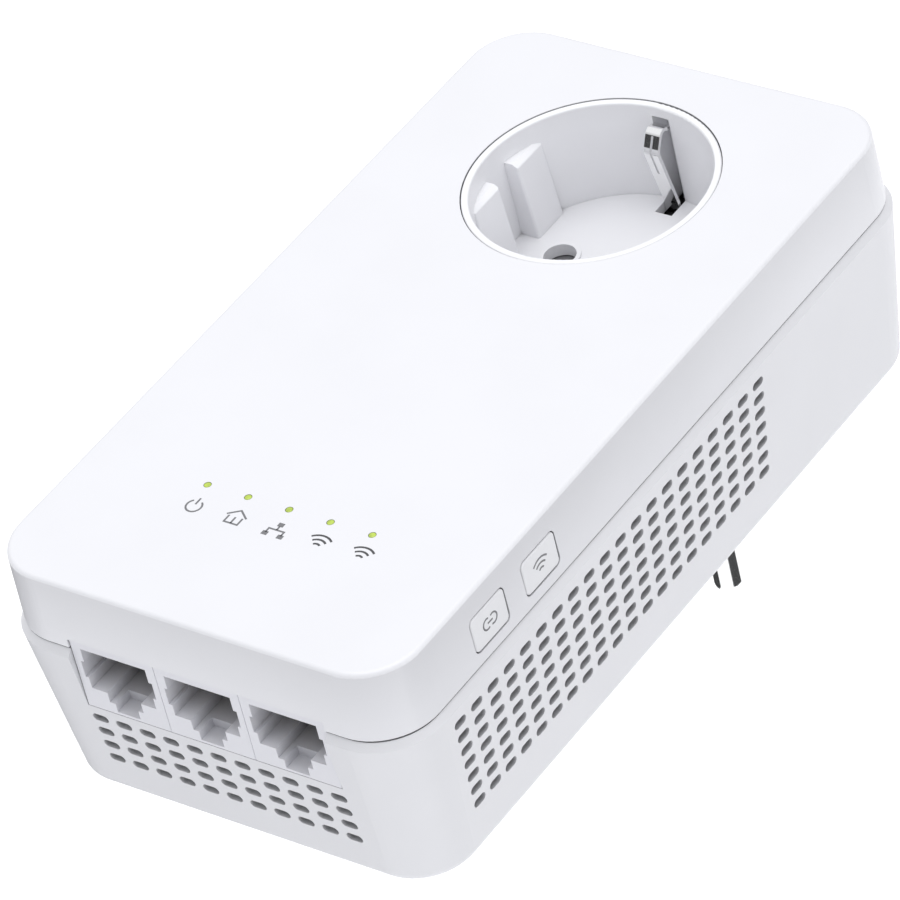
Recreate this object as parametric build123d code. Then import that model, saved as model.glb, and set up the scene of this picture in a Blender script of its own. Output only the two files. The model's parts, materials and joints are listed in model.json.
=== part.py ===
from build123d import *
import math
import os

# Plug-in powerline adapter with a pass-through side-earthed socket.
# Millimetres. +Z is out of the front face, -Z is where the plug pins point.
# The origin is on the plug's axis, in the plane where the pins leave the plug.
# -Y is the end with the network jacks, +X is the side with the push buttons.

# ---- driving dimensions: case ----
CASE_WIDTH = 74.0
CASE_LENGTH = 138.0
CASE_DEPTH = 42.0
CASE_REACH = 30.3            # socket end of the case, measured from the plug axis
WALL = 2.2
CORNER = 10.0
COVER_HEIGHT = 12.4
PART_GAP = 0.36              # shadow gap between cover and rear case
COVER_WALL = 2.0
COVER_INSET = 0.7            # how far the cover stands inside the rear case's widest line
SHOULDER_IN = 0.9            # sloped band under the gap
SHOULDER_DROP = 1.2
REAR_TAPER_X = 2.4           # taper of the rear case, on each side
REAR_TAPER_Y = 2.8
COVER_DRAFT = 0.3
REAR_EDGE = 1.6

# ---- driving dimensions: mains side ----
PLUG_HEIGHT = 17.5
PLUG_RADIUS = 18.2
PIN_RADIUS = 2.4
PIN_LENGTH = 19.0
PIN_OFFSET = 9.5
RECESS_DEPTH = 17.5
RECESS_RADIUS = 18.75
RECESS_FLOOR_RADIUS = 18.6
WELL_RADIUS = 19.95
WELL_HOLE = 20.07
PIN_HOLE_RADIUS = 2.6
RIB_WIDTH = 6.8
GROOVE_HALF = 2.5            # half the groove between two ribs
WELL_FLOOR = 1.8
CLIP_WIDTH = 2.6
CLIP_THICK = 0.6
SHUTTER_TURN = 35.0

# ---- driving dimensions: network side ----
JACK_PITCH = 15.3
JACK_WIDTH = 15.2
JACK_BOTTOM = 35.9
JACK_HEIGHT = 12.75
JACK_DEPTH = 17.0
JACK_FACE_Y = -106.7
WINDOW_HALF = 23.05
LAMP_PITCH = 7.4
LAMP_X = 0.8                 # middle of the lamp row
LAMP_Y = -80.3
LAMP_RADIUS = 0.62
BUTTON_LENGTH = 8.3
BUTTON_HEIGHT = 6.0
BUTTON_CORNER = 0.9
BUTTON_GAP = 0.2
BUTTON_FACE_X = 36.25
BUTTON_Y = {"pair": -82.9, "wifi": -70.0}
BUTTON_Z = 52.3

# ---- driving dimensions: ventilation ----
SLOT_LENGTH = 2.8
SLOT_WIDTH = 1.45
END_ROWS = 4
END_COLUMNS = 11
END_PITCH = 4.32
END_TOP_Z = 33.44
END_ROW_STEP = 2.873
SIDE_ROWS = 7
SIDE_COLUMNS = 20
SIDE_TOP_Z = 42.97
SIDE_ROW_STEP = 2.78
SIDE_START_Y = -94.4
SIDE_PITCH = 4.144
SIDE_FAN = 0.021             # each lower row is this much tighter per column
SIDE_SHIFT = 0.213           # and starts this much further along

# ---- worked out from the above ----
BODY_Y = CASE_REACH - CASE_LENGTH / 2
JACK_END_Y = CASE_REACH - CASE_LENGTH
REAR_Z = PLUG_HEIGHT
FRONT_Z = REAR_Z + CASE_DEPTH
PART_Z = FRONT_Z - COVER_HEIGHT
RIM_Z = PART_Z - PART_GAP / 2
WIDE_Z = RIM_Z - SHOULDER_DROP
COVER_LOW_Z = PART_Z + PART_GAP / 2
COVER_IN_Z = FRONT_Z - COVER_WALL
FLOOR_Z = REAR_Z + WALL
SOCKET_FLOOR_Z = FRONT_Z - RECESS_DEPTH
WELL_BOTTOM_Z = SOCKET_FLOOR_Z - WELL_FLOOR
JACK_TOP = JACK_BOTTOM + JACK_HEIGHT

# ---- boards ----
BOARD_THICK = 1.6
MAIN_BOARD_Z = JACK_TOP + 0.2
MAIN_TOP_Z = MAIN_BOARD_Z + BOARD_THICK
POWER_BOARD_Z = FLOOR_Z + 4.0
POWER_TOP_Z = POWER_BOARD_Z + BOARD_THICK
FLANGE_Z = FLOOR_Z + 1.3
CARRIER_RADIUS = 15.8
CARRIER_TOP = WELL_BOTTOM_Z - 1.4
SCREW_X = 28.75
SCREW_YS = (17.0, -96.7)
BOARD_POSTS = ((-26.0, -79.0), (26.0, -79.0), (-10.0, -28.4), (10.0, -28.4))
SHEET_Z = 46.2
CLIP_LEG_Y = 17.3


def box(x0, x1, y0, y1, z0, z1):
    """A block between two opposite corners."""
    block = Box(x1 - x0, y1 - y0, z1 - z0)
    return Pos((x0 + x1) / 2, (y0 + y1) / 2, (z0 + z1) / 2) * block


def disc(radius, z0, z1, x=0.0, y=0.0):
    """An upright cylinder."""
    return Pos(x, y, (z0 + z1) / 2) * Cylinder(radius, z1 - z0)


def lying(radius, x0, x1, y, z):
    """A cylinder along X."""
    return Pos((x0 + x1) / 2, y, z) * Rot(0, 90, 0) * Cylinder(radius, x1 - x0)


def outline(width, length, radius, z):
    """The case's rounded outline at one height."""
    return Pos(0, BODY_Y, z) * RectangleRounded(width, length, radius)


def stack(*sections):
    """A solid through rounded outlines, each (width, length, radius, z)."""
    faces = [outline(*section) for section in sections]
    return loft(faces, ruled=True)


def rear_half(z, inset=0.0):
    """Width and length of the rear case at a height, moved in by inset."""
    share = (WIDE_Z - z) / (WIDE_Z - REAR_Z)
    width = CASE_WIDTH - 2 * REAR_TAPER_X * share - 2 * inset
    length = CASE_LENGTH - 2 * REAR_TAPER_Y * share - 2 * inset
    return width, length


def cover_half(z, inset=0.0):
    """Width and length of the front cover at a height, moved in by inset."""
    share = (z - COVER_LOW_Z) / (FRONT_Z - COVER_LOW_Z)
    shrink = 2 * (COVER_INSET + COVER_DRAFT * share + inset)
    return CASE_WIDTH - shrink, CASE_LENGTH - shrink


def edges_at(shape, z):
    """The edges that lie in one horizontal plane."""
    low = z - 0.01
    high = z + 0.01
    return shape.edges().filter_by_position(Axis.Z, low, high)


def vent_slots():
    """The pierced slots: four straight rows in the jack end, seven fanned rows in each side."""
    end_slot = extrude(Plane.XZ * SlotOverall(SLOT_LENGTH + 0.1, SLOT_WIDTH), 10)
    side_slot = extrude(Plane.YZ * SlotOverall(SLOT_LENGTH, SLOT_WIDTH), 10)
    cuts = []
    for row in range(END_ROWS):
        z = END_TOP_Z - row * END_ROW_STEP
        for column in range(END_COLUMNS):
            x = (column - (END_COLUMNS - 1) / 2) * END_PITCH
            cuts.append(Pos(x, JACK_END_Y + 8, z) * end_slot)
    for row in range(SIDE_ROWS):
        z = SIDE_TOP_Z - row * SIDE_ROW_STEP
        for column in range(SIDE_COLUMNS):
            pitch = SIDE_PITCH - SIDE_FAN * row
            y = SIDE_START_Y + SIDE_SHIFT * row + column * pitch
            cuts.append(Pos(32.3, y, z) * side_slot)
            cuts.append(Pos(-42.3, y, z) * side_slot)
    return cuts


def screw_places():
    """The four corners where a case screw stands."""
    return [(sx * SCREW_X, y) for y in SCREW_YS for sx in (-1, 1)]


def button_window(y, margin):
    """A prism along X with a button's outline, grown by margin all round."""
    length = BUTTON_LENGTH + 2 * margin
    height = BUTTON_HEIGHT + 2 * margin
    face = Plane.YZ * RectangleRounded(length, height, BUTTON_CORNER + margin)
    return Pos(0, y, BUTTON_Z) * extrude(face, 1)


def along_x(prism, x0, x1):
    """Stretch a unit prism that starts at x = 0 so that it runs from x0 to x1."""
    face = prism.faces().sort_by(Axis.X)[0]
    return Pos(x0, 0, 0) * extrude(face, amount=x1 - x0, dir=(1, 0, 0))


# ---------------------------------------------------------------- case

def make_front_cover():
    """Shallow outer shell with the socket hole, lamp holes and button windows."""
    low = cover_half(COVER_LOW_Z)
    high = cover_half(FRONT_Z)
    shell = stack((*low, CORNER - 0.4, COVER_LOW_Z), (*high, CORNER - 0.7, FRONT_Z))
    shell = fillet(edges_at(shell, FRONT_Z), 0.75)
    inner_low = cover_half(COVER_LOW_Z, COVER_WALL)
    inner_high = cover_half(COVER_IN_Z, COVER_WALL)
    below = COVER_LOW_Z - 0.5
    hollow = stack((*inner_low, CORNER - 2.4, below), (*inner_high, CORNER - 2.7, COVER_IN_Z))
    shell -= hollow
    shell -= disc(WELL_HOLE, COVER_IN_Z - 1, FRONT_Z + 1)
    shell -= box(-WINDOW_HALF, WINDOW_HALF, JACK_END_Y - 1, JACK_END_Y + 4, PART_Z - 1, JACK_TOP + 0.15)
    for x in lamp_places():
        shell -= disc(LAMP_RADIUS, COVER_IN_Z - 1, FRONT_Z + 1, x, LAMP_Y)
    for y in BUTTON_Y.values():
        shell -= along_x(button_window(y, BUTTON_GAP), 30, 40)
    posts = []
    for x, y in screw_places():
        post = disc(3.2, FLOOR_Z + 24.6, COVER_IN_Z + 0.1, x, y)
        posts.append(post - disc(1.2, FLOOR_Z + 24, COVER_IN_Z - 2, x, y))
    return shell + posts


def make_rear_case():
    """Deep tapered tub with its locating lip, vent slots, jack window and plug opening."""
    low = rear_half(REAR_Z)
    wide = rear_half(WIDE_Z)
    rim = (wide[0] - 2 * SHOULDER_IN, wide[1] - 2 * SHOULDER_IN)
    tub = stack((*low, CORNER - 1, REAR_Z), (*wide, CORNER, WIDE_Z))
    tub = fillet(edges_at(tub, REAR_Z), REAR_EDGE)
    tub += stack((*wide, CORNER, WIDE_Z), (*rim, CORNER - SHOULDER_IN, RIM_Z))
    lip_outer = cover_half(COVER_LOW_Z, COVER_WALL + 0.15)
    lip_inner = cover_half(COVER_LOW_Z, COVER_WALL + 1.15)
    lip_top = RIM_Z + 1.5
    tub += stack((*lip_outer, CORNER - 2.5, RIM_Z - 1), (*lip_outer, CORNER - 2.5, lip_top))
    ledge = RIM_Z - 2.6
    deep = rear_half(FLOOR_Z, WALL)
    upper = rear_half(ledge, WALL)
    tub -= stack((*deep, CORNER - 3, FLOOR_Z), (*upper, CORNER - 2, ledge))
    tub -= stack((*lip_inner, CORNER - 3.5, ledge - 0.5), (*lip_inner, CORNER - 3.5, lip_top + 1))
    window = box(-WINDOW_HALF, WINDOW_HALF, JACK_END_Y - 1, JACK_END_Y + 6, JACK_BOTTOM - 0.1, lip_top + 1)
    tub -= window
    tub -= disc(PLUG_RADIUS + 0.15, REAR_Z - 1, FLOOR_Z + 1)
    for x, y in screw_places():
        tub += disc(3.6, FLOOR_Z - 0.1, FLOOR_Z + 24.4, x, y)
        tub -= disc(1.7, REAR_Z - 1, FLOOR_Z + 25, x, y)
        tub -= disc(3.0, REAR_Z - 1, REAR_Z + 10, x, y)
    for x, y in BOARD_POSTS:
        tub += disc(2.4, FLOOR_Z - 0.1, POWER_BOARD_Z, x, y) - disc(1.0, FLOOR_Z + 1, POWER_TOP_Z, x, y)
    return tub - vent_slots()


def make_case_screws():
    """Four self-tapping screws that reach from the back into the cover's posts."""
    screws = []
    for x, y in screw_places():
        head_z = REAR_Z + 10
        head = disc(2.8, head_z - 2.0, head_z, x, y)
        shank = disc(1.15, head_z - 1.0, FLOOR_Z + 33, x, y)
        drive = disc(1.1, head_z - 2.5, head_z - 1.1, x, y)
        screws.append(head + shank - drive)
    return screws


def make_rating_label():
    """Blank foil label on the back, below the plug."""
    plate = RectangleRounded(44, 52, 3)
    return Pos(0, -61, REAR_Z - 0.15) * extrude(plate, 0.15)


# ---------------------------------------------------------------- socket

def clip_slot(side, grow=0.0):
    """The slot that an earth clip stands in, at +Y or -Y."""
    half = CLIP_WIDTH / 2 + 0.25 + grow
    slot = box(-half, half, 14.6, 22.0 + grow, WELL_BOTTOM_Z - 0.5, FRONT_Z - 1.9 + grow)
    return slot if side > 0 else mirror(slot, Plane.XZ)


def guide_rib(side_x, side_y):
    """One of the four guide ribs: tall, drafted, with a sloping rounded top."""
    profile = Polyline((-21, -0.8), (-14.95, -0.8), (-16.15, 13.3), (-17.0, 13.9), (-21, 13.9), close=True)
    rib = extrude(Plane.XZ * make_face(profile), -RIB_WIDTH)
    rib = Pos(0, GROOVE_HALF, SOCKET_FLOOR_Z) * rib
    front = rib.faces().filter_by(lambda face: face.normal_at().X > 0.9)[0]
    rib = fillet(front.edges(), 0.4)
    if side_x > 0:
        rib = mirror(rib, Plane.YZ)
    if side_y < 0:
        rib = mirror(rib, Plane.XZ)
    return rib


def make_socket_well():
    """Round recess that takes a side-earthed plug, with its rim, ribs and clip pockets."""
    well = disc(WELL_RADIUS, WELL_BOTTOM_Z, FRONT_Z)
    well += disc(WELL_RADIUS + 2.4, COVER_IN_Z - 1.3, COVER_IN_Z - 0.05)
    pocket = box(-3.8, 3.8, 17.0, 23.2, WELL_BOTTOM_Z, COVER_IN_Z - 0.05)
    well += pocket
    well += mirror(pocket, Plane.XZ)
    mouth = Pos(0, 0, (SOCKET_FLOOR_Z + FRONT_Z) / 2)
    well -= mouth * Cone(RECESS_FLOOR_RADIUS, RECESS_RADIUS, RECESS_DEPTH)
    inside = disc(WELL_RADIUS - 0.3, SOCKET_FLOOR_Z - 1.0, FRONT_Z - 0.6)
    for side_x in (-1, 1):
        well += disc(PIN_HOLE_RADIUS + 0.7, SOCKET_FLOOR_Z - 0.1, SOCKET_FLOOR_Z + 0.3, side_x * PIN_OFFSET)
        for side_y in (-1, 1):
            well += guide_rib(side_x, side_y) & inside
        well -= disc(PIN_HOLE_RADIUS, WELL_BOTTOM_Z - 1, SOCKET_FLOOR_Z + 1, side_x * PIN_OFFSET)
    for side in (-1, 1):
        well -= clip_slot(side)
    rim = well.edges().filter_by(GeomType.CIRCLE)
    rim = rim.filter_by_position(Axis.Z, FRONT_Z - 0.01, FRONT_Z + 0.01)
    return fillet(rim, 0.35)


def make_earth_clip(side):
    """Sprung earth contact: a bent strip that bows towards the plug and hooks back at its top."""
    path = FilletPolyline(
        (CLIP_LEG_Y, 25.0),
        (CLIP_LEG_Y, 42.4),
        (15.0, 53.6),
        (16.9, 56.9),
        (19.2, 55.6),
        radius=[2.0, 1.7, 1.1],
    )
    strip = extrude(Plane.YZ * trace(path, CLIP_THICK), CLIP_WIDTH / 2, both=True)
    strip -= box(-0.2, 0.2, 12, 22, 49.0, 56.0)
    return strip if side > 0 else mirror(strip, Plane.XZ)


def make_shutter():
    """Turning disc that covers both pin holes until two pins push it round together."""
    z0 = CARRIER_TOP + 0.25
    z1 = z0 + 0.9
    plate = disc(13.6, z0, z1) - disc(1.55, z0 - 1, z1 + 1)
    for side in (-1, 1):
        angle = math.radians(-SHUTTER_TURN)
        x = side * PIN_OFFSET * math.cos(angle)
        y = side * PIN_OFFSET * math.sin(angle)
        plate -= disc(PIN_HOLE_RADIUS, z0 - 1, z1 + 1, x, y)
    return plate


def make_shutter_spring():
    """Small torsion spring under the shutter."""
    coil = Helix(pitch=0.5, height=1.25, radius=2.5)
    wire = Plane(origin=coil @ 0, z_dir=coil % 0) * Circle(0.17)
    return Pos(0, 0, CARRIER_TOP - 1.6) * sweep(wire, path=coil, is_frenet=True)


def make_contact_carrier():
    """Insulating block that holds both socket contacts and carries the shutter's pivot."""
    block = disc(CARRIER_RADIUS, FLANGE_Z, WELL_BOTTOM_Z - 0.05)
    block -= disc(14.2, CARRIER_TOP, WELL_BOTTOM_Z + 1)
    block -= disc(3.3, CARRIER_TOP - 2.0, CARRIER_TOP + 1)
    block += disc(1.45, CARRIER_TOP - 2.1, WELL_BOTTOM_Z - 0.1)
    collar = disc(22.0, WELL_BOTTOM_Z - 2.4, WELL_BOTTOM_Z - 0.9)
    collar -= disc(15.0, WELL_BOTTOM_Z - 3, WELL_BOTTOM_Z)
    for side in (-1, 1):
        leg = box(-CLIP_WIDTH / 2 - 0.1, CLIP_WIDTH / 2 + 0.1, 16.9, 17.75, WELL_BOTTOM_Z - 3, WELL_BOTTOM_Z)
        collar -= leg if side > 0 else mirror(leg, Plane.XZ)
    block += collar
    for side in (-1, 1):
        x = side * PIN_OFFSET
        block -= disc(3.55, FLANGE_Z - 1, CARRIER_TOP - 0.8, x)
        block -= disc(PIN_HOLE_RADIUS, FLANGE_Z, CARRIER_TOP + 1, x)
        block -= box(min(x, side * 20), max(x, side * 20), -2.1, 2.1, FLANGE_Z - 1, FLANGE_Z + 1.6)
    return block


def make_socket_contact(side):
    """Split sleeve that grips a plug pin, with a stub down to the adapter's own pin."""
    x = side * PIN_OFFSET
    base_z = FLANGE_Z + 0.7
    sleeve = disc(3.25, base_z, CARRIER_TOP - 1.0, x) - disc(2.42, base_z + 1.0, CARRIER_TOP, x)
    sleeve -= box(x - 4, x + 4, -0.35, 0.35, base_z + 4, CARRIER_TOP)
    sleeve -= box(x - 0.35, x + 0.35, -4, 4, base_z + 4, CARRIER_TOP)
    stub = disc(2.0, FLANGE_Z + 0.5, base_z + 0.1, x)
    tail = box(min(x, side * 21.5), max(x, side * 21.5), -1.9, 1.9, base_z, base_z + 0.8)
    return sleeve + stub + (tail - disc(2.42, base_z + 1.0, CARRIER_TOP, x))


# ---------------------------------------------------------------- plug

def make_plug_body():
    """Round plug base with side keys and flats, and a flange that the case traps."""
    puck = disc(PLUG_RADIUS, 0, FLOOR_Z)
    puck = chamfer(edges_at(puck, 0), 0.9)
    for sx in (-1, 1):
        for sy in (-1, 1):
            notch = box(14.7, 20, 2.4, 9.4, -1, REAR_Z - 1.4)
            notch = notch if sx > 0 else mirror(notch, Plane.YZ)
            puck -= notch if sy > 0 else mirror(notch, Plane.XZ)
    for sx in (-1, 1):
        lane = box(16.9, 20, -3, 3, -1, REAR_Z - 1.4)
        puck -= lane if sx > 0 else mirror(lane, Plane.YZ)
    puck += disc(PLUG_RADIUS + 3.0, FLOOR_Z, FLANGE_Z)
    for sy in (-1, 1):
        flat = box(-5.5, 5.5, 16.85, 20, -1, REAR_Z - 1.4)
        lane = box(-3.15, 3.15, 16.2, 16.95, 0.6, FLANGE_Z + 1)
        clip = box(-1.5, 1.5, 16.8, 17.75, REAR_Z + 3, FLANGE_Z + 1)
        for cut in (flat, lane, clip):
            puck -= cut if sy > 0 else mirror(cut, Plane.XZ)
    for side in (-1, 1):
        puck -= disc(2.0, -1, FLANGE_Z + 1, side * PIN_OFFSET)
        puck -= disc(3.1, FLANGE_Z - 0.9, FLANGE_Z + 1, side * PIN_OFFSET)
    return puck


def make_plug_pin(side):
    """Round 4.8 mm pin with a rounded tip, a thinner root and a riveted head."""
    x = side * PIN_OFFSET
    pin = disc(PIN_RADIUS, -PIN_LENGTH, 0, x)
    pin = fillet(edges_at(pin, -PIN_LENGTH), 1.6)
    pin += disc(2.0, -0.1, FLANGE_Z - 0.8, x)
    pin += disc(3.0, FLANGE_Z - 0.9, FLANGE_Z + 0.5, x)
    return pin


def make_earth_strap():
    """Side contacts of the plug, joined round the carrier by a half ring."""
    strips = []
    for sy in (-1, 1):
        strip = box(-3.0, 3.0, 16.3, 16.9, 0.8, 29.0)
        strips.append(strip if sy > 0 else mirror(strip, Plane.XZ))
    ring_z = FLANGE_Z + 4.4
    ring = disc(20.5, ring_z, ring_z + 0.8) - disc(17.2, FLANGE_Z, FLANGE_Z + 8)
    ring -= box(0, 30, -30, 30, FLANGE_Z, FLANGE_Z + 8)
    for sy in (-1, 1):
        tab = box(-3.0, -2.15, 16.8, 19.0, ring_z, ring_z + 0.8)
        ring += tab if sy > 0 else mirror(tab, Plane.XZ)
        leg = box(-2.12, 2.5, 16.9, 17.75, FLANGE_Z, FLANGE_Z + 8)
        ring -= leg if sy > 0 else mirror(leg, Plane.XZ)
    return strips[0] + strips[1] + ring


# ---------------------------------------------------------------- jacks

def jack_profile():
    """Keyed opening: shoulders for the plug body, then two narrower steps for its latch."""
    top = JACK_BOTTOM + 11.45
    steps = [(11.9, 2.5), (13.0, 3.1), (11.8, 2.0), (6.2, 1.8), (4.2, 1.6)]
    levels = []
    z = top
    for width, drop in steps:
        levels.append((width, z - drop, z))
        z -= drop
    return levels


def make_jack(index):
    """One network jack housing; the latch side faces the back of the adapter."""
    x = (index - 1) * JACK_PITCH
    half = JACK_WIDTH / 2
    back = JACK_FACE_Y + JACK_DEPTH
    body = box(x - half, x + half, JACK_FACE_Y, back, JACK_BOTTOM, JACK_TOP)
    depths = [13.5, 5.0, 13.5, 9.0, 3.2]
    for (width, z0, z1), depth in zip(jack_profile(), depths):
        cut_width = width if depth < 13 else min(width, 11.9)
        body -= box(x - width / 2, x + width / 2, JACK_FACE_Y - 1, JACK_FACE_Y + 1.2, z0, z1)
        body -= box(x - cut_width / 2, x + cut_width / 2, JACK_FACE_Y, JACK_FACE_Y + depth, z0, z1)
    middle = jack_profile()[1]
    body -= box(x - 5.9, x + 5.9, JACK_FACE_Y, JACK_FACE_Y + 13.5, middle[1], middle[2])
    contact_top = JACK_TOP - 1.0
    for wire in range(8):
        wx = x + (wire - 3.5) * 1.02
        body -= box(wx - 0.3, wx + 0.3, JACK_FACE_Y + 2.4, JACK_FACE_Y + 15.0, contact_top - 1.0, contact_top)
    return body


def make_jack_contacts(index):
    """Eight gold spring wires that lean back into the jack from its front edge."""
    x = (index - 1) * JACK_PITCH
    wires = []
    top = JACK_TOP - 1.5
    for wire in range(8):
        wx = x + (wire - 3.5) * 1.02
        path = FilletPolyline(
            (JACK_FACE_Y + 14.4, top),
            (JACK_FACE_Y + 3.2, top),
            (JACK_FACE_Y + 10.4, top - 2.8),
            radius=0.5,
        )
        wires.append(Pos(wx, 0, 0) * extrude(Plane.YZ * trace(path, 0.34), 0.17, both=True))
    return wires


# ---------------------------------------------------------------- buttons and lamps

def make_button(name):
    """Button cap with a trapped flange behind the cover's wall."""
    y = BUTTON_Y[name]
    face = BUTTON_FACE_X
    cap = along_x(button_window(y, 0), face - 2.4, face)
    cap = fillet(cap.faces().sort_by(Axis.X)[-1].edges(), 0.3)
    flange = along_x(button_window(y, 0.5), face - 3.1, face - 2.3)
    stem = lying(1.3, face - 4.05, face - 3.0, y, BUTTON_Z)
    return cap + flange + stem


def make_switch(name):
    """Side-acting tact switch housing on the main board."""
    y = BUTTON_Y[name]
    face = BUTTON_FACE_X
    body = box(face - 9.0, face - 5.4, y - 2.3, y + 2.3, MAIN_TOP_Z, MAIN_TOP_Z + 3.95)
    return body - lying(1.15, face - 7.0, face - 5, y, BUTTON_Z)


def make_plunger(name):
    """Switch plunger, which moves in with the button."""
    return lying(1.0, BUTTON_FACE_X - 6.2, BUTTON_FACE_X - 4.05, BUTTON_Y[name], BUTTON_Z)


def lamp_places():
    """Where the five status lamps stand."""
    return [LAMP_X + (index - 2) * LAMP_PITCH for index in range(5)]


def make_light_guide():
    """Clear moulding: one bar with five posts that end in the cover's lamp holes."""
    bar = box(LAMP_X - 18.0, LAMP_X + 18.0, LAMP_Y - 1.4, LAMP_Y + 1.4, MAIN_TOP_Z + 2.0, MAIN_TOP_Z + 3.4)
    for x in lamp_places():
        bar += disc(LAMP_RADIUS - 0.06, MAIN_TOP_Z + 3.3, FRONT_Z - 0.04, x, LAMP_Y)
    for x in (LAMP_X - 17.0, LAMP_X + 17.0):
        bar += disc(0.9, MAIN_TOP_Z, MAIN_TOP_Z + 2.1, x, LAMP_Y)
    return bar


def make_lamps():
    """Five small LEDs on the main board under the light guide."""
    return [box(x - 1.0, x + 1.0, LAMP_Y - 0.6, LAMP_Y + 0.6, MAIN_TOP_Z, MAIN_TOP_Z + 0.9)
            for x in lamp_places()]


# ---------------------------------------------------------------- electronics

def make_main_board():
    """Network board right under the cover, cut round the socket well."""
    board = box(-32.5, 32.5, -103.3, -13.5, MAIN_BOARD_Z, MAIN_TOP_Z)
    board = fillet(board.edges().filter_by(Axis.Z).sort_by(Axis.Y)[:2], 4.0)
    board -= disc(WELL_RADIUS + 4.2, MAIN_BOARD_Z - 1, MAIN_TOP_Z + 1)
    for x, y in screw_places():
        if y < 0:
            board -= disc(3.6, MAIN_BOARD_Z - 1, MAIN_TOP_Z + 1, x, y)
    return board


def make_power_board():
    """Mains board on four posts at the back of the case."""
    board = box(-29.0, 29.0, -82.0, -26.0, POWER_BOARD_Z, POWER_TOP_Z)
    for x, y in BOARD_POSTS:
        board -= disc(1.1, POWER_BOARD_Z - 1, POWER_TOP_Z + 1, x, y)
    return board


def make_board_screws():
    """Four small screws that hold the power board."""
    screws = []
    for x, y in BOARD_POSTS:
        shank = disc(0.95, FLOOR_Z + 1.2, POWER_TOP_Z + 0.1, x, y)
        head = disc(2.0, POWER_TOP_Z, POWER_TOP_Z + 1.3, x, y)
        screws.append(shank + head - box(x - 1.4, x + 1.4, y - 0.25, y + 0.25, POWER_TOP_Z + 0.7, 40))
    return screws


def make_insulating_sheet():
    """Thin barrier sheet between the mains board and the network board."""
    sheet = box(-30.0, 30.0, -83.5, -25.0, SHEET_Z, SHEET_Z + 0.4)
    return sheet - box(-30.0, -21.5, -62.0, -44.0, SHEET_Z - 1, SHEET_Z + 1)


def make_heat_sink():
    """Flat finned aluminium heat sink on top of the main processor."""
    base = box(-12.0, 12.0, -60.0, -38.0, MAIN_TOP_Z + 1.2, MAIN_TOP_Z + 2.2)
    for index in range(9):
        x = -11.6 + index * 2.8
        base += box(x, x + 0.8, -60.0, -38.0, MAIN_TOP_Z + 2.1, MAIN_TOP_Z + 4.8)
    return base


def make_chip(x, y, width, length, height):
    """A chip on top of the main board."""
    body = box(x - width / 2, x + width / 2, y - length / 2, y + length / 2, MAIN_TOP_Z, MAIN_TOP_Z + height)
    return chamfer(edges_at(body, MAIN_TOP_Z + height), 0.15)


def make_lan_transformers():
    """Three network isolation transformers behind the jacks, hanging under the board."""
    return [box(x - 6.0, x + 6.0, -83.6, -76.2, SHEET_Z + 0.4, MAIN_BOARD_Z) for x in (-16.0, 0.0, 16.0)]


def make_shield_can():
    """Pressed tin can over the radio, open underneath."""
    can = box(-29.5, -15.5, -62.0, -40.0, MAIN_TOP_Z, MAIN_TOP_Z + 2.6)
    can = fillet(edges_at(can, MAIN_TOP_Z + 2.6), 0.4)
    return can - box(-29.2, -15.8, -61.7, -40.3, MAIN_TOP_Z - 1, MAIN_TOP_Z + 2.3)


def make_board_header():
    """Pin header that links the two boards through the sheet's cut-out."""
    body = box(-27.5, -24.0, -60.0, -46.0, POWER_TOP_Z, POWER_TOP_Z + 8.5)
    for index in range(6):
        y = -58.5 + index * 2.54
        body += box(-26.1, -25.4, y - 0.35, y + 0.35, POWER_TOP_Z + 8.4, MAIN_BOARD_Z)
    return body


def make_transformer():
    """Flyback transformer: ferrite core round a wound bobbin."""
    core = box(-1.0, 17.0, -58.0, -42.0, POWER_TOP_Z, POWER_TOP_Z + 16.0)
    core -= box(-2.0, 18.0, -55.2, -44.8, POWER_TOP_Z + 2.8, POWER_TOP_Z + 13.2)
    post = box(-1.0, 17.0, -55.2, -44.8, POWER_TOP_Z + 2.8, POWER_TOP_Z + 13.2)
    return core + post


def make_transformer_winding():
    """Taped winding that bulges out of both sides of the core."""
    coil = box(-3.6, 19.6, -55.0, -45.0, POWER_TOP_Z + 3.0, POWER_TOP_Z + 13.0)
    return coil - box(-1.0, 17.0, -60.0, -40.0, POWER_TOP_Z - 1, POWER_TOP_Z + 20)


def can_capacitor(x, y, radius, height):
    """Aluminium capacitor with a rounded shoulder and a crimp groove near its foot."""
    body = disc(radius, POWER_TOP_Z, POWER_TOP_Z + height, x, y)
    body = fillet(edges_at(body, POWER_TOP_Z + height), 0.6)
    groove = disc(radius + 1, POWER_TOP_Z + 1.6, POWER_TOP_Z + 2.2, x, y)
    groove -= disc(radius - 0.4, POWER_TOP_Z + 1.0, POWER_TOP_Z + 3.0, x, y)
    return body - groove


def make_bulk_capacitors():
    """Two mains reservoir capacitors."""
    return [can_capacitor(-12.5, -68.0, 6.3, 18.5), can_capacitor(2.0, -68.0, 6.3, 18.5)]


def make_output_capacitors():
    """Two low-voltage output capacitors."""
    return [can_capacitor(24.3, -52.5, 4.0, 15.0), can_capacitor(24.3, -43.0, 4.0, 15.0)]


def make_x_capacitor():
    """Box-shaped suppression capacitor across the mains."""
    body = box(-20.0, -3.0, -40.0, -31.0, POWER_TOP_Z, POWER_TOP_Z + 14.0)
    return fillet(edges_at(body, POWER_TOP_Z + 14.0), 0.8)


def make_choke():
    """Common-mode choke: a ring core standing in a flat plastic base."""
    base = box(-1.5, 13.5, -41.2, -31.2, POWER_TOP_Z, POWER_TOP_Z + 1.2)
    ring = Cylinder(6.8, 6.0) - Cylinder(2.6, 7.0)
    return base + Pos(6.0, -36.2, POWER_TOP_Z + 7.4) * Rot(90, 0, 0) * ring


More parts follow.
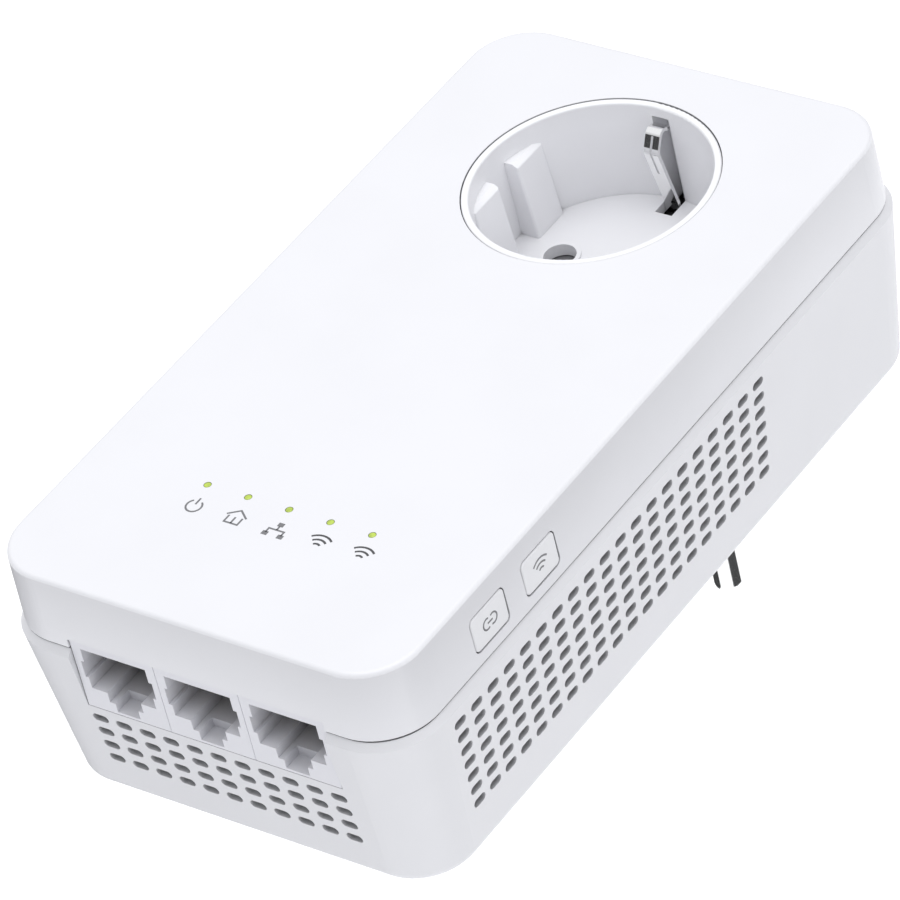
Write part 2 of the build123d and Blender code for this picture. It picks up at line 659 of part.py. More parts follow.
def make_fuse():
    """Tube fuse in a sleeve, lying on the board."""
    y = -31.4
    z = POWER_TOP_Z + 2.45
    body = lying(2.3, 15.2, 27.2, y, z)
    caps = lying(2.45, 15.2, 18.0, y, z)
    caps += lying(2.45, 24.4, 27.2, y, z)
    return body + caps


def make_varistor():
    """Disc varistor standing on edge."""
    return Pos(23.0, -36.4, POWER_TOP_Z + 6.2) * Rot(90, 0, 0) * Cylinder(5.0, 3.6)


def make_bridge_rectifier():
    """Four-pin bridge rectifier, standing."""
    return box(-24.0, -20.8, -44.0, -29.4, POWER_TOP_Z, POWER_TOP_Z + 11.0)


def make_coupling_transformer():
    """Small transformer that puts the network signal on the mains."""
    core = box(13.0, 25.0, -76.5, -64.5, POWER_TOP_Z, POWER_TOP_Z + 9.5)
    return core - box(15.2, 22.8, -77.0, -64.0, POWER_TOP_Z + 7.0, POWER_TOP_Z + 10.0)


def make_controller_chip():
    """Power supply controller on the mains board."""
    return box(-22.0, -16.0, -57.0, -50.0, POWER_TOP_Z, POWER_TOP_Z + 1.6)


def make_mains_lead(side):
    """Insulated lead from a socket contact's tail to the power board."""
    x = side * 20.2
    low = FLANGE_Z + 2.8
    high = POWER_TOP_Z + 4.7
    path = FilletPolyline(
        (x, 1.5, low),
        (x, -17.0, low),
        (x, -23.6, high),
        (x, -27.6, high),
        (x, -27.6, POWER_TOP_Z),
        radius=[4.0, 2.4, 2.4],
    )
    return sweep(Plane(origin=path @ 0, z_dir=path % 0) * Circle(1.2), path=path)


def make_antenna(side):
    """Printed antenna blade standing by the side wall near the jack end."""
    x = side * 30.2
    blade = box(min(x, x - side * 0.8), max(x, x - side * 0.8), -58.0, -24.0, 33.0, 44.0)
    return blade


def make_antenna_lead(side):
    """Thin coaxial lead from an antenna up to the main board."""
    x = side * 28.6
    path = FilletPolyline((x, -44.0, 41.0), (x, -24.0, 41.0), (x, -24.0, MAIN_BOARD_Z), radius=2.5)
    lead = sweep(Plane(origin=path @ 0, z_dir=path % 0) * Circle(0.55), path=path)
    return lead


def build_nodes():
    """Every sub-part, by node name."""
    nodes = {
        "front_cover": make_front_cover(),
        "rear_case": make_rear_case(),
        "case_screws": make_case_screws(),
        "rating_label": make_rating_label(),
        "socket_well": make_socket_well(),
        "earth_clip_upper": make_earth_clip(1),
        "earth_clip_lower": make_earth_clip(-1),
        "earth_strap": make_earth_strap(),
        "shutter": make_shutter(),
        "shutter_spring": make_shutter_spring(),
        "contact_carrier": make_contact_carrier(),
        "live_contact": make_socket_contact(1),
        "neutral_contact": make_socket_contact(-1),
        "plug_body": make_plug_body(),
        "live_pin": make_plug_pin(1),
        "neutral_pin": make_plug_pin(-1),
        "light_guide": make_light_guide(),
        "status_lamps": make_lamps(),
        "main_board": make_main_board(),
        "processor_chip": make_chip(0, -49, 14, 14, 1.2),
        "heat_sink": make_heat_sink(),
        "switch_chip": make_chip(-14, -70, 9, 9, 1.0),
        "memory_chip": make_chip(20, -49, 8, 10, 1.0),
        "radio_chip": make_chip(-22.5, -51, 8, 8, 1.0),
        "shield_can": make_shield_can(),
        "lan_transformers": make_lan_transformers(),
        "board_header": make_board_header(),
        "insulating_sheet": make_insulating_sheet(),
        "power_board": make_power_board(),
        "board_screws": make_board_screws(),
        "transformer_core": make_transformer(),
        "transformer_winding": make_transformer_winding(),
        "bulk_capacitors": make_bulk_capacitors(),
        "output_capacitors": make_output_capacitors(),
        "x_capacitor": make_x_capacitor(),
        "mains_choke": make_choke(),
        "fuse": make_fuse(),
        "varistor": make_varistor(),
        "bridge_rectifier": make_bridge_rectifier(),
        "coupling_transformer": make_coupling_transformer(),
        "controller_chip": make_controller_chip(),
        "live_lead": make_mains_lead(1),
        "neutral_lead": make_mains_lead(-1),
        "antenna_right": make_antenna(1),
        "antenna_left": make_antenna(-1),
        "antenna_lead_right": make_antenna_lead(1),
        "antenna_lead_left": make_antenna_lead(-1),
    }
    for index, place in enumerate(("left", "middle", "right")):
        nodes[f"jack_{place}"] = make_jack(index)
        nodes[f"jack_contacts_{place}"] = make_jack_contacts(index)
    for name in BUTTON_Y:
        nodes[f"{name}_button"] = make_button(name)
        nodes[f"{name}_switch"] = make_switch(name)
        nodes[f"{name}_plunger"] = make_plunger(name)
    return nodes


def export_nodes(nodes):
    """One STEP file per node; a node of several like pieces is a group of solids."""
    os.makedirs("parts", exist_ok=True)
    for name, shape in nodes.items():
        solids = shape if isinstance(shape, list) else [shape]
        pieces = [solid for piece in solids for solid in piece.solids()]
        result = pieces[0] if len(pieces) == 1 else Compound(children=pieces)
        result.label = name
        export_step(result, f"parts/{name}.step")


export_nodes(build_nodes())
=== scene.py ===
import json
import math

import bmesh
import bpy
from mathutils import Matrix, Vector


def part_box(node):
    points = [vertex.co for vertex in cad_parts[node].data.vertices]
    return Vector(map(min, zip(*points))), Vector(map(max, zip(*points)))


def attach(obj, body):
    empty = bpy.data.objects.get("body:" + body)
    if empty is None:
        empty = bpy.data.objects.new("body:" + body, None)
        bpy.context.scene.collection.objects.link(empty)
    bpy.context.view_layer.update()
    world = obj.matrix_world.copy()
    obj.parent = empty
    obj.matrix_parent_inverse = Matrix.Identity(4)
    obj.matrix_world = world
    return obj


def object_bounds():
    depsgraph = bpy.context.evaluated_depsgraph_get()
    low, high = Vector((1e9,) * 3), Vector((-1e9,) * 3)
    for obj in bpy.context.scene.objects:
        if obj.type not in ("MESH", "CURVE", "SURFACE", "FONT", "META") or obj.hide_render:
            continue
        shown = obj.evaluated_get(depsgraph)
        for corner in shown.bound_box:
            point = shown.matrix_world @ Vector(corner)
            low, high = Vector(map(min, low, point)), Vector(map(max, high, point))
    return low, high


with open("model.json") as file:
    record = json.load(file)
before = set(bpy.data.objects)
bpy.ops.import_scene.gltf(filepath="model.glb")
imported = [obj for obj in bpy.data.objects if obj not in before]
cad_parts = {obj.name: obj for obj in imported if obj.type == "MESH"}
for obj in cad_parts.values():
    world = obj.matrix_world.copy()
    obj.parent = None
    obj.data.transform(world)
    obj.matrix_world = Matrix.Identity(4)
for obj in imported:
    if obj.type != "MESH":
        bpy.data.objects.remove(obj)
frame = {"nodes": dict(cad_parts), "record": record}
CAD_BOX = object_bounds()
MM = 0.001

# ------------------------------------------------------------------ places read from the frame

COVER_LOW, COVER_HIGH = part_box("front_cover")
FRONT_Z = COVER_HIGH[2]
LAMPS_LOW, LAMPS_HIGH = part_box("status_lamps")
LAMP_Y = (LAMPS_LOW[1] + LAMPS_HIGH[1]) / 2
JACK_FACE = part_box("jack_middle")[0][1]
RECESS_FLOOR = FRONT_Z - 17.5 * MM
LAMP_WIDTH = 2.0 * MM
LAMP_FIRST = LAMPS_LOW[0] + LAMP_WIDTH / 2
LAMP_STEP = (LAMPS_HIGH[0] - LAMPS_LOW[0] - LAMP_WIDTH) / 4
LAMP_RADIUS = 0.55 * MM
FLOOR_DROP = 0.25             # how far the floor lies below the pins
INK = 0.02 * MM               # thickness of a printed mark
STROKE = 0.3 * MM             # line width of a printed mark
MARK_SHIFT = 0.9 * MM         # how far the symbols stand to the right of their lamps

SKY_LOW = 0.36                # brightness of the surroundings at the horizon
SKY_HIGH = 1.0                # and overhead
TOP_POWER = 5.9               # overhead box, watts
SIDE_POWER = 0.9              # box on the button side
FLOOR_HALF = 6.0              # half the floor's width
CARD_LIFT = 0.01              # cards lie this far above the floor
LENS_SIDES = 24               # facets round a lamp lens
LENS_RINGS = 5
LENS_RISE = 0.12 * MM         # height of a lens's dome
LENS_SINK = 0.03 * MM         # how far its rim lies under the front face


# ------------------------------------------------------------------ camera, floor and light

def make_camera():
    """A long lens at the product photograph's viewing angle."""
    right = Vector((0.8079, 0.5566, -0.1937)).normalized()
    forward = Vector((-0.5394, 0.5661, -0.6233)).normalized()
    up = right.cross(forward).normalized()
    data = bpy.data.cameras.new("camera")
    data.lens = 255.0
    data.sensor_width = 36.0
    data.dof.use_dof = False
    data.clip_end = 20.0
    camera = bpy.data.objects.new("camera", data)
    turn = Matrix((right, up, -forward)).transposed().to_4x4()
    camera.matrix_world = Matrix.Translation((0.5082, -0.5775, 0.6287)) @ turn
    bpy.context.scene.collection.objects.link(camera)
    bpy.context.scene.camera = camera


def make_area(name, place, target, size, power):
    """A square softbox that faces a target."""
    data = bpy.data.lights.new(name, "AREA")
    data.shape = "SQUARE"
    data.size = size
    data.energy = power
    light = bpy.data.objects.new(name, data)
    aim = (Vector(target) - Vector(place)).to_track_quat("-Z", "Y")
    light.matrix_world = Matrix.Translation(place) @ aim.to_matrix().to_4x4()
    bpy.context.scene.collection.objects.link(light)


def make_light():
    """White surroundings, brighter overhead, with a large box above and a soft one at the button side."""
    world = bpy.data.worlds.new("studio")
    world.use_nodes = True
    tree = world.node_tree
    sky = tree.nodes["Background"]
    sky.inputs["Color"].default_value = (0.97, 0.98, 1.0, 1.0)
    place = tree.nodes.new("ShaderNodeTexCoord")
    parts = tree.nodes.new("ShaderNodeSeparateXYZ")
    dome = tree.nodes.new("ShaderNodeMapRange")
    dome.inputs["From Min"].default_value = 0.1
    dome.inputs["From Max"].default_value = 0.65
    dome.inputs["To Min"].default_value = SKY_LOW
    dome.inputs["To Max"].default_value = SKY_HIGH
    tree.links.new(place.outputs["Generated"], parts.inputs["Vector"])
    tree.links.new(parts.outputs["Z"], dome.inputs["Value"])
    tree.links.new(dome.outputs["Result"], sky.inputs["Strength"])
    bpy.context.scene.world = world
    middle = (0.0, -0.04, 0.03)
    make_area("overhead", (0.1, 0.05, 1.3), middle, 1.1, TOP_POWER)
    make_area("button_side", (1.3, 0.1, 0.35), middle, 0.9, SIDE_POWER)
    view = bpy.context.scene.view_settings
    view.view_transform = "Standard"
    view.look = "None"


def make_card(name, corners):
    """A black card out of the camera's sight, for dark streaks in the plated metal."""
    mesh = bpy.data.meshes.new(name)
    mesh.from_pydata(corners, [], [(0, 1, 2, 3)])
    mesh.materials.append(FINISHES["black_plastic"])
    card = bpy.data.objects.new(name, mesh)
    bpy.context.scene.collection.objects.link(card)
    card.visible_camera = False
    card.visible_diffuse = False
    card.visible_shadow = False


def make_cards():
    """Two cards lie near the floor for the pins, and one stands beyond the jacks for the earth clips."""
    level = CAD_BOX[0][2] - FLOOR_DROP + CARD_LIFT
    spans = (("card_right", 0.2, 0.5, -0.13, 0.3), ("card_left", -0.5, -0.16, -0.3, 0.13))
    for name, x0, x1, y0, y1 in spans:
        make_card(name, [(x0, y0, level), (x1, y0, level), (x1, y1, level), (x0, y1, level)])
    ends = [(-0.45 + side * 0.25 * 0.83, -0.68 - side * 0.25 * 0.55) for side in (-1, 1)]
    low, high = 0.12, 0.34
    make_card("card_end", [(*ends[0], low), (*ends[1], low), (*ends[1], high), (*ends[0], high)])


def make_floor():
    """Plain pale floor, well below the pins."""
    half = FLOOR_HALF
    level = CAD_BOX[0][2] - FLOOR_DROP
    corners = [(-half, -half), (half, -half), (half, half), (-half, half)]
    mesh = bpy.data.meshes.new("floor")
    mesh.from_pydata([(x, y, level) for x, y in corners], [], [(0, 1, 2, 3)])
    floor = bpy.data.objects.new("floor", mesh)
    bpy.context.scene.collection.objects.link(floor)
    mesh.materials.append(FINISHES["floor"])


# ------------------------------------------------------------------ materials

def new_material(name):
    """A material with only its output and a Principled shader."""
    material = bpy.data.materials.new(name)
    material.use_nodes = True
    return material, material.node_tree, material.node_tree.nodes["Principled BSDF"]


def add(tree, kind, **settings):
    """A node with its plain settings and its unlinked inputs set by name."""
    node = tree.nodes.new(kind)
    for key, value in settings.items():
        socket = node.inputs.get(key.replace("_", " ")) if key[0].isupper() else None
        if socket is not None:
            socket.default_value = value
        else:
            setattr(node, key, value)
    return node


def noise(tree, scale, detail=3.0, roughness=0.55):
    """Noise in the object's own coordinates; scale is the size of a feature in metres."""
    place = add(tree, "ShaderNodeTexCoord")
    pattern = add(tree, "ShaderNodeTexNoise", Scale=1.0 / scale, Detail=detail, Roughness=roughness)
    tree.links.new(place.outputs["Object"], pattern.inputs["Vector"])
    return pattern.outputs["Fac"]


def ramp(tree, source, low, high, start=0.35, end=0.65):
    """A blend of two colours, driven by a pattern."""
    blend = add(tree, "ShaderNodeValToRGB")
    blend.color_ramp.elements[0].position = start
    blend.color_ramp.elements[0].color = (*low, 1.0)
    blend.color_ramp.elements[1].position = end
    blend.color_ramp.elements[1].color = (*high, 1.0)
    tree.links.new(source, blend.inputs["Fac"])
    return blend.outputs["Color"]


def spread(tree, source, low, high):
    """A number between two values, driven by a pattern."""
    node = add(tree, "ShaderNodeMapRange")
    node.inputs["To Min"].default_value = low
    node.inputs["To Max"].default_value = high
    tree.links.new(source, node.inputs["Value"])
    return node.outputs["Result"]


def emboss(tree, shader, source, depth, strength):
    """Fine surface relief from a pattern."""
    bump = add(tree, "ShaderNodeBump", Strength=strength, Distance=depth)
    tree.links.new(source, bump.inputs["Height"])
    tree.links.new(bump.outputs["Normal"], shader.inputs["Normal"])


def shade(colour, factor):
    """A colour made lighter or darker."""
    return tuple(min(1.0, value * factor) for value in colour)


def paint_shade_along_axis(tree, colour, axis, start, end, factor, only_sides=False):
    """Painted shade: the colour, darkened along one axis from start to end; only_sides spares faces that look
    up.
    """
    place = add(tree, "ShaderNodeTexCoord")
    parts = add(tree, "ShaderNodeSeparateXYZ")
    tree.links.new(place.outputs["Object"], parts.inputs["Vector"])
    share = add(tree, "ShaderNodeMapRange")
    share.inputs["From Min"].default_value = start
    share.inputs["From Max"].default_value = end
    tree.links.new(parts.outputs[axis], share.inputs["Value"])
    amount = share.outputs["Result"]
    if only_sides:
        facing = add(tree, "ShaderNodeSeparateXYZ")
        tree.links.new(place.outputs["Normal"], facing.inputs["Vector"])
        upright = add(tree, "ShaderNodeMapRange")
        upright.inputs["From Min"].default_value = 0.35
        upright.inputs["From Max"].default_value = 0.1
        tree.links.new(facing.outputs["Z"], upright.inputs["Value"])
        both = add(tree, "ShaderNodeMath", operation="MULTIPLY")
        tree.links.new(amount, both.inputs[0])
        tree.links.new(upright.outputs["Result"], both.inputs[1])
        amount = both.outputs["Value"]
    mix = add(tree, "ShaderNodeMix", data_type="RGBA", blend_type="MULTIPLY")
    tree.links.new(amount, mix.inputs["Factor"])
    tree.links.new(colour, mix.inputs[6])
    mix.inputs[7].default_value = (factor, factor, factor, 1.0)
    return mix.outputs[2]


def paint_crevice_shade(tree, colour, reach, dark):
    """Painted shade: the colour, darkened by ambient occlusion in gaps and slots narrower than the reach."""
    open_sky = add(tree, "ShaderNodeAmbientOcclusion", samples=8, Distance=reach)
    share = add(tree, "ShaderNodeMapRange")
    share.inputs["From Min"].default_value = 0.62
    share.inputs["From Max"].default_value = 0.12
    tree.links.new(open_sky.outputs["AO"], share.inputs["Value"])
    mix = add(tree, "ShaderNodeMix", data_type="RGBA", blend_type="MULTIPLY")
    tree.links.new(share.outputs["Result"], mix.inputs["Factor"])
    tree.links.new(colour, mix.inputs[6])
    mix.inputs[7].default_value = (dark, dark, dark, 1.0)
    return mix.outputs[2]


def moulded(name, colour, rough=0.4, grain=0.35 * MM, depth=0.012 * MM, strength=0.25, change=0.02,
            coat=0.0, level=0.5, painted_axis_shade=None, painted_crevice_shade=None):
    """Injection-moulded plastic: slight cloudiness in the colour and a fine spark-eroded grain, with optional
    painted shade along one axis and in crevices.
    """
    material, tree, shader = new_material(name)
    cloud = noise(tree, 18 * MM, detail=2.0)
    grit = noise(tree, grain, detail=4.0, roughness=0.6)
    base = ramp(tree, cloud, shade(colour, 1 - change), shade(colour, 1 + change))
    if painted_axis_shade:
        base = paint_shade_along_axis(tree, base, *painted_axis_shade)
    if painted_crevice_shade:
        base = paint_crevice_shade(tree, base, *painted_crevice_shade)
    tree.links.new(base, shader.inputs["Base Color"])
    tree.links.new(spread(tree, grit, rough - 0.05, rough + 0.05), shader.inputs["Roughness"])
    shader.inputs["Specular IOR Level"].default_value = level
    shader.inputs["Coat Weight"].default_value = coat
    shader.inputs["Coat Roughness"].default_value = 0.12
    emboss(tree, shader, grit, depth, strength)
    return material


def metal(name, colour, rough=0.2, grain=1.2 * MM, change=0.05, strength=0.05):
    """Plated or bare metal with faint handling marks."""
    material, tree, shader = new_material(name)
    cloud = noise(tree, 6 * MM, detail=3.0)
    grit = noise(tree, grain, detail=5.0, roughness=0.7)
    tree.links.new(ramp(tree, cloud, shade(colour, 1 - change), shade(colour, 1 + change)),
                   shader.inputs["Base Color"])
    tree.links.new(spread(tree, grit, rough * 0.7, rough * 1.3), shader.inputs["Roughness"])
    shader.inputs["Metallic"].default_value = 1.0
    emboss(tree, shader, grit, 0.01 * MM, strength)
    return material


def clear(name, colour, glow):
    """Tinted light-guide plastic that passes a little of its lamp's light."""
    material, tree, shader = new_material(name)
    cloud = noise(tree, 0.9 * MM, detail=1.0)
    tint = ramp(tree, cloud, shade(colour, 0.85), shade(colour, 1.15))
    tree.links.new(tint, shader.inputs["Base Color"])
    tree.links.new(tint, shader.inputs["Emission Color"])
    shader.inputs["Emission Strength"].default_value = glow
    shader.inputs["Roughness"].default_value = 0.18
    shader.inputs["Coat Weight"].default_value = 0.5
    return material


def circuit(name, colour):
    """Solder mask over faint straight tracks."""
    material, tree, shader = new_material(name)
    place = add(tree, "ShaderNodeTexCoord")
    tracks = add(tree, "ShaderNodeTexBrick", Scale=420.0)
    tracks.inputs["Mortar Size"].default_value = 0.03
    tracks.inputs["Color1"].default_value = (*colour, 1.0)
    tracks.inputs["Color2"].default_value = (*shade(colour, 1.25), 1.0)
    tracks.inputs["Mortar"].default_value = (*shade(colour, 2.1), 1.0)
    tree.links.new(place.outputs["Object"], tracks.inputs["Vector"])
    tree.links.new(tracks.outputs["Color"], shader.inputs["Base Color"])
    shader.inputs["Roughness"].default_value = 0.35
    shader.inputs["Coat Weight"].default_value = 0.3
    emboss(tree, shader, tracks.outputs["Fac"], 0.03 * MM, 0.3)
    return material


def fibrous(name, colour, rough=0.7):
    """Wound tape, film or sleeve: fine bands across the piece."""
    material, tree, shader = new_material(name)
    place = add(tree, "ShaderNodeTexCoord")
    bands = add(tree, "ShaderNodeTexWave", Scale=260.0, Distortion=1.2, Detail=2.0)
    tree.links.new(place.outputs["Object"], bands.inputs["Vector"])
    tree.links.new(ramp(tree, bands.outputs["Fac"], shade(colour, 0.85), shade(colour, 1.1)),
                   shader.inputs["Base Color"])
    shader.inputs["Roughness"].default_value = rough
    emboss(tree, shader, bands.outputs["Fac"], 0.03 * MM, 0.3)
    return material


def pale_floor(name):
    """White studio floor with barely visible mottling."""
    material, tree, shader = new_material(name)
    cloud = noise(tree, 0.6, detail=2.0)
    white = ramp(tree, cloud, (0.97, 0.97, 0.98), (1.0, 1.0, 1.0))
    tree.links.new(white, shader.inputs["Base Color"])
    tree.links.new(white, shader.inputs["Emission Color"])
    shader.inputs["Emission Strength"].default_value = 0.22
    shader.inputs["Roughness"].default_value = 0.9
    shader.inputs["Specular IOR Level"].default_value = 0.0
    return material


WHITE = (0.80, 0.80, 0.83)
CASE_WHITE = (0.74, 0.74, 0.765)

FINISHES = {
    "floor": pale_floor("floor"),
    # Painted shade: the cover's sides darken towards its top edge, and its gaps and slots darken.
    "cover_plastic": moulded("cover_plastic", WHITE, rough=0.34, change=0.008, coat=0.25,
                             painted_axis_shade=("Z", COVER_LOW[2], FRONT_Z, 0.82, True), painted_crevice_shade=(1.2 * MM, 0.35)),
    # Painted shade: the case darkens in gaps and slots narrower than 3 mm.
    "case_plastic": moulded("case_plastic", CASE_WHITE, rough=0.42, change=0.008, painted_crevice_shade=(3.0 * MM, 0.2)),
    # Painted shade: the socket darkens towards the floor of its recess, and in its narrow gaps.
    "socket_plastic": moulded("socket_plastic", (0.9, 0.9, 0.925), rough=0.36, change=0.01, coat=0.15,
                              painted_axis_shade=("Z", FRONT_Z - 4 * MM, RECESS_FLOOR, 0.88), painted_crevice_shade=(1.2 * MM, 0.5)),
    "button_plastic": moulded("button_plastic", (0.77, 0.77, 0.79), rough=0.38, change=0.01),
    # Painted shade: the jacks darken deeper inside their openings.
    "jack_plastic": moulded("jack_plastic", (0.74, 0.74, 0.78), rough=0.42, change=0.015,
                            painted_axis_shade=("Y", JACK_FACE + 0.6 * MM, JACK_FACE + 7 * MM, 0.4)),
    "plug_plastic": moulded("plug_plastic", (0.74, 0.74, 0.765), rough=0.5, depth=0.03 * MM, strength=0.5),
    "carrier_plastic": moulded("carrier_plastic", (0.018, 0.018, 0.02), rough=0.5),
    "shutter_plastic": moulded("shutter_plastic", (0.16, 0.16, 0.17), rough=0.5),
    "black_plastic": moulded("black_plastic", (0.02, 0.02, 0.021), rough=0.5, change=0.1),
    "yellow_plastic": moulded("yellow_plastic", (0.72, 0.5, 0.04), rough=0.45, change=0.03),
    "chip": moulded("chip", (0.022, 0.022, 0.025), rough=0.6, grain=0.15 * MM, change=0.1),
    "ferrite": moulded("ferrite", (0.05, 0.05, 0.055), rough=0.65, grain=0.3 * MM, strength=0.6, change=0.15),
    "blue_epoxy": moulded("blue_epoxy", (0.03, 0.09, 0.38), rough=0.3, change=0.06, coat=0.4),
    "brown_pvc": moulded("brown_pvc", (0.14, 0.05, 0.02), rough=0.45, change=0.06),
    "blue_pvc": moulded("blue_pvc", (0.03, 0.12, 0.42), rough=0.45, change=0.06),
    "grey_pvc": moulded("grey_pvc", (0.2, 0.2, 0.21), rough=0.5, change=0.06),
    "capacitor_sleeve": fibrous("capacitor_sleeve", (0.03, 0.035, 0.09), rough=0.35),
    "tape": fibrous("tape", (0.65, 0.42, 0.05), rough=0.4),
    "sheet": fibrous("sheet", (0.62, 0.58, 0.45), rough=0.5),
    "label": fibrous("label", (0.62, 0.63, 0.65), rough=0.5),
    "board": circuit("board", (0.02, 0.14, 0.05)),
    "steel": metal("steel", (0.6, 0.6, 0.61), rough=0.32),
    "nickel": metal("nickel", (0.86, 0.86, 0.86), rough=0.1, change=0.02),
    "copper": metal("copper", (0.75, 0.42, 0.25), rough=0.3),
    "gold": metal("gold", (0.9, 0.64, 0.28), rough=0.16),
    "tin": metal("tin", (0.66, 0.66, 0.67), rough=0.35),
    "aluminium": metal("aluminium", (0.74, 0.74, 0.76), rough=0.38),
    "clear_plastic": clear("clear_plastic", (0.36, 0.48, 0.06), 0.0),
    "lamp": clear("lamp", (0.4, 0.52, 0.06), 0.12),
    "ink": moulded("ink", (0.19, 0.19, 0.2), rough=0.6, change=0.08),
    "dark_ink": moulded("dark_ink", (0.07, 0.07, 0.075), rough=0.6, change=0.08),
}


def dress_nodes():
    """Every CAD node takes the finish of its material slot."""
    slots = {row["node"]: row["material_slot"] for row in frame["record"]["subparts"]}
    for name, node in frame["nodes"].items():
        finish = FINISHES[slots[name]]
        for place in node.material_slots:
            place.link = "OBJECT"
            place.material = finish


# ------------------------------------------------------------------ printed marks

def arc(radius, start, end, centre=(0.0, 0.0)):
    """Points on an arc; angles in degrees, anticlockwise from +X."""
    steps = max(6, int(abs(end - start) / 9))
    points = []
    for step in range(steps + 1):
        angle = math.radians(start + (end - start) * step / steps)
        points.append((centre[0] + radius * math.cos(angle), centre[1] + radius * math.sin(angle)))
    return points


def add_stroke(mesh, points, width):
    """A flat raised line through 2-D points, with mitred corners; all sizes in millimetres."""
    closed = points[0] == points[-1]
    if closed:
        points = points[:-1]
    count = len(points)
    rings = []
    for index, point in enumerate(points):
        here = Vector(point)
        before = Vector(points[index - 1]) if index or closed else None
        after = Vector(points[(index + 1) % count]) if index < count - 1 or closed else None
        along_in = (here - before).normalized() if before is not None else (after - here).normalized()
        along_out = (after - here).normalized() if after is not None else along_in
        along = (along_in + along_out).normalized()
        side = Vector((-along.y, along.x))
        reach = width / 2 / max(0.5, side.dot(Vector((-along_in.y, along_in.x))))
        ends = []
        for sign in (-1, 1):
            edge = here + side * reach * sign
            for lift in (0.0, INK / MM):
                ends.append(mesh.verts.new((edge.x, edge.y, lift)))
        rings.append(ends)
    last = count if closed else count - 1
    for index in range(last):
        first = rings[index]
        second = rings[(index + 1) % count]
        for a, b in ((0, 1), (1, 3), (3, 2), (2, 0)):
            mesh.faces.new((first[a], first[b], second[b], second[a]))
    if not closed:
        for ends in (rings[0], rings[-1]):
            mesh.faces.new((ends[0], ends[1], ends[3], ends[2]))


def add_block(mesh, x0, x1, y0, y1):
    """A filled rectangle of ink."""
    add_stroke(mesh, [((x0 + x1) / 2, y0), ((x0 + x1) / 2, y1)], x1 - x0)


def make_mark(name, strokes, blocks, place, finish, body, upright=False):
    """One printed symbol; upright ones stand on the +X side with their top towards +Z."""
    mesh = bmesh.new()
    for points, width in strokes:
        add_stroke(mesh, points, width)
    for block in blocks:
        add_block(mesh, *block)
    bmesh.ops.recalc_face_normals(mesh, faces=mesh.faces)
    data = bpy.data.meshes.new(name)
    mesh.to_mesh(data)
    mesh.free()
    turn = Matrix(((0, 0, 1), (1, 0, 0), (0, 1, 0))).to_4x4() if upright else Matrix.Identity(4)
    data.transform(Matrix.Translation(place) @ turn @ Matrix.Scale(MM, 4))
    data.materials.append(FINISHES[finish])
    piece = bpy.data.objects.new(name, data)
    bpy.context.scene.collection.objects.link(piece)
    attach(piece, body)
    return piece


def power_symbol(line):
    """A broken ring with an upright bar."""
    return [(arc(1.25, 125, 415), line), ([(0.0, 0.35), (0.0, 1.75)], line)], []


def house_symbol(line):
    """A roof over an open box with one inner line."""
    roof = [(-1.75, 0.35), (0.0, 1.65), (1.75, 0.35)]
    walls = [(-1.2, 0.25), (-1.2, -1.2), (1.2, -1.2), (1.2, 0.25)]
    return [(roof, line), (walls, line), ([(0.0, -1.2), (0.0, 0.15)], line)], []


def network_symbol(line):
    """Three stations joined by a branching line."""
    branch = [(-1.35, -0.9), (-1.35, 0.0), (1.35, 0.0), (1.35, -0.9)]
    stations = [(-0.5, 0.5, 0.75, 1.55), (-1.85, -0.85, -1.5, -0.7), (0.85, 1.85, -1.5, -0.7)]
    return [(branch, line), ([(0.0, 0.0), (0.0, 0.8)], line)], stations


def wave_symbol(line, size=1.0):
    """Three arcs that spread upwards."""
    arcs = []
    for radius in (0.85, 1.75, 2.65):
        arcs.append((arc(radius * size, 48, 132, (0.0, -1.5 * size)), line))
    return arcs, []


def link_symbol(line):
    """Two half rings that face each other round a short bar."""
    left = arc(0.9, 60, 300, (-0.75, 0.0))
    right = arc(0.9, -120, 120, (0.75, 0.0))
    return [(left, line), (right, line), ([(-0.6, 0.0), (0.6, 0.0)], line)], []


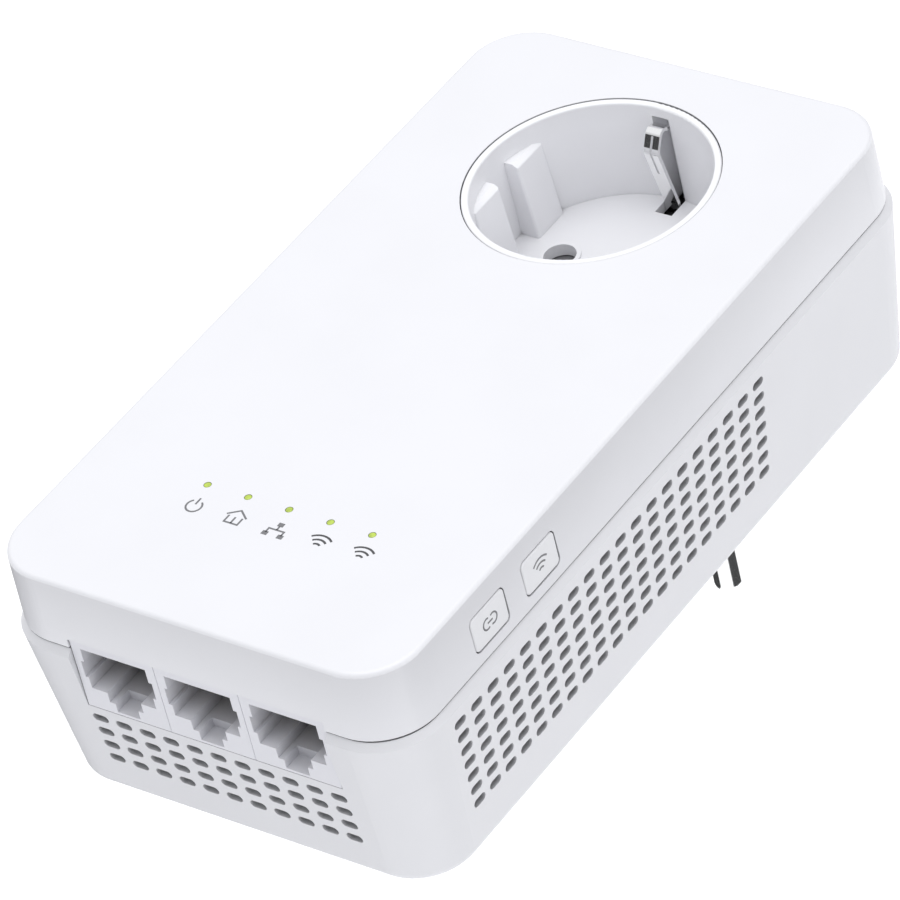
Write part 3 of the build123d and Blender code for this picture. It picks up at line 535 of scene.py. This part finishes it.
def make_printed_marks():
    """A symbol below each lamp, and one on each button."""
    line = STROKE / MM
    symbols = [
        ("mark_power", power_symbol(line), "ink", -4.6),
        ("mark_house", house_symbol(line), "ink", -4.5),
        ("mark_network", network_symbol(line), "ink", -4.4),
        ("mark_wireless_a", wave_symbol(line * 1.15), "dark_ink", -4.0),
        ("mark_wireless_b", wave_symbol(line * 1.15), "dark_ink", -3.8),
    ]
    for index, (name, (strokes, blocks), finish, drop) in enumerate(symbols):
        x = LAMP_FIRST + index * LAMP_STEP + MARK_SHIFT
        make_mark(name, strokes, blocks, (x, LAMP_Y + drop * MM, FRONT_Z), finish, "adapter")
    for node, symbol in (("pair_button", link_symbol(0.28)), ("wifi_button", wave_symbol(0.3, 0.95))):
        low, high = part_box(node)
        strokes, blocks = symbol
        place = (high[0], (low[1] + high[1]) / 2, (low[2] + high[2]) / 2)
        make_mark(f"mark_{node}", strokes, blocks, place, "ink", node, upright=True)


# ------------------------------------------------------------------ lamp lenses

def make_lamp_lenses():
    """A low dome at the end of each light-guide post, filling its hole in the cover."""
    mesh = bmesh.new()
    for index in range(5):
        x = LAMP_FIRST + index * LAMP_STEP
        previous = None
        for ring in range(LENS_RINGS):
            share = ring / LENS_RINGS
            radius = LAMP_RADIUS * math.cos(share * math.pi / 2)
            height = FRONT_Z - LENS_SINK + LENS_RISE * math.sin(share * math.pi / 2)
            points = []
            for side in range(LENS_SIDES):
                angle = 2 * math.pi * side / LENS_SIDES
                place = (x + radius * math.cos(angle), LAMP_Y + radius * math.sin(angle), height)
                points.append(mesh.verts.new(place))
            if previous:
                for side in range(LENS_SIDES):
                    following = (side + 1) % LENS_SIDES
                    ring_face = (previous[side], previous[following], points[following], points[side])
                    mesh.faces.new(ring_face)
            previous = points
        top = mesh.verts.new((x, LAMP_Y, FRONT_Z - LENS_SINK + LENS_RISE))
        for side in range(LENS_SIDES):
            mesh.faces.new((previous[side], previous[(side + 1) % LENS_SIDES], top))
    data = bpy.data.meshes.new("lamp_lenses")
    mesh.to_mesh(data)
    mesh.free()
    data.shade_smooth()
    data.materials.append(FINISHES["lamp"])
    piece = bpy.data.objects.new("lamp_lenses", data)
    bpy.context.scene.collection.objects.link(piece)
    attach(piece, "adapter")


make_camera()
make_light()
make_floor()
make_cards()
dress_nodes()
make_printed_marks()
make_lamp_lenses()
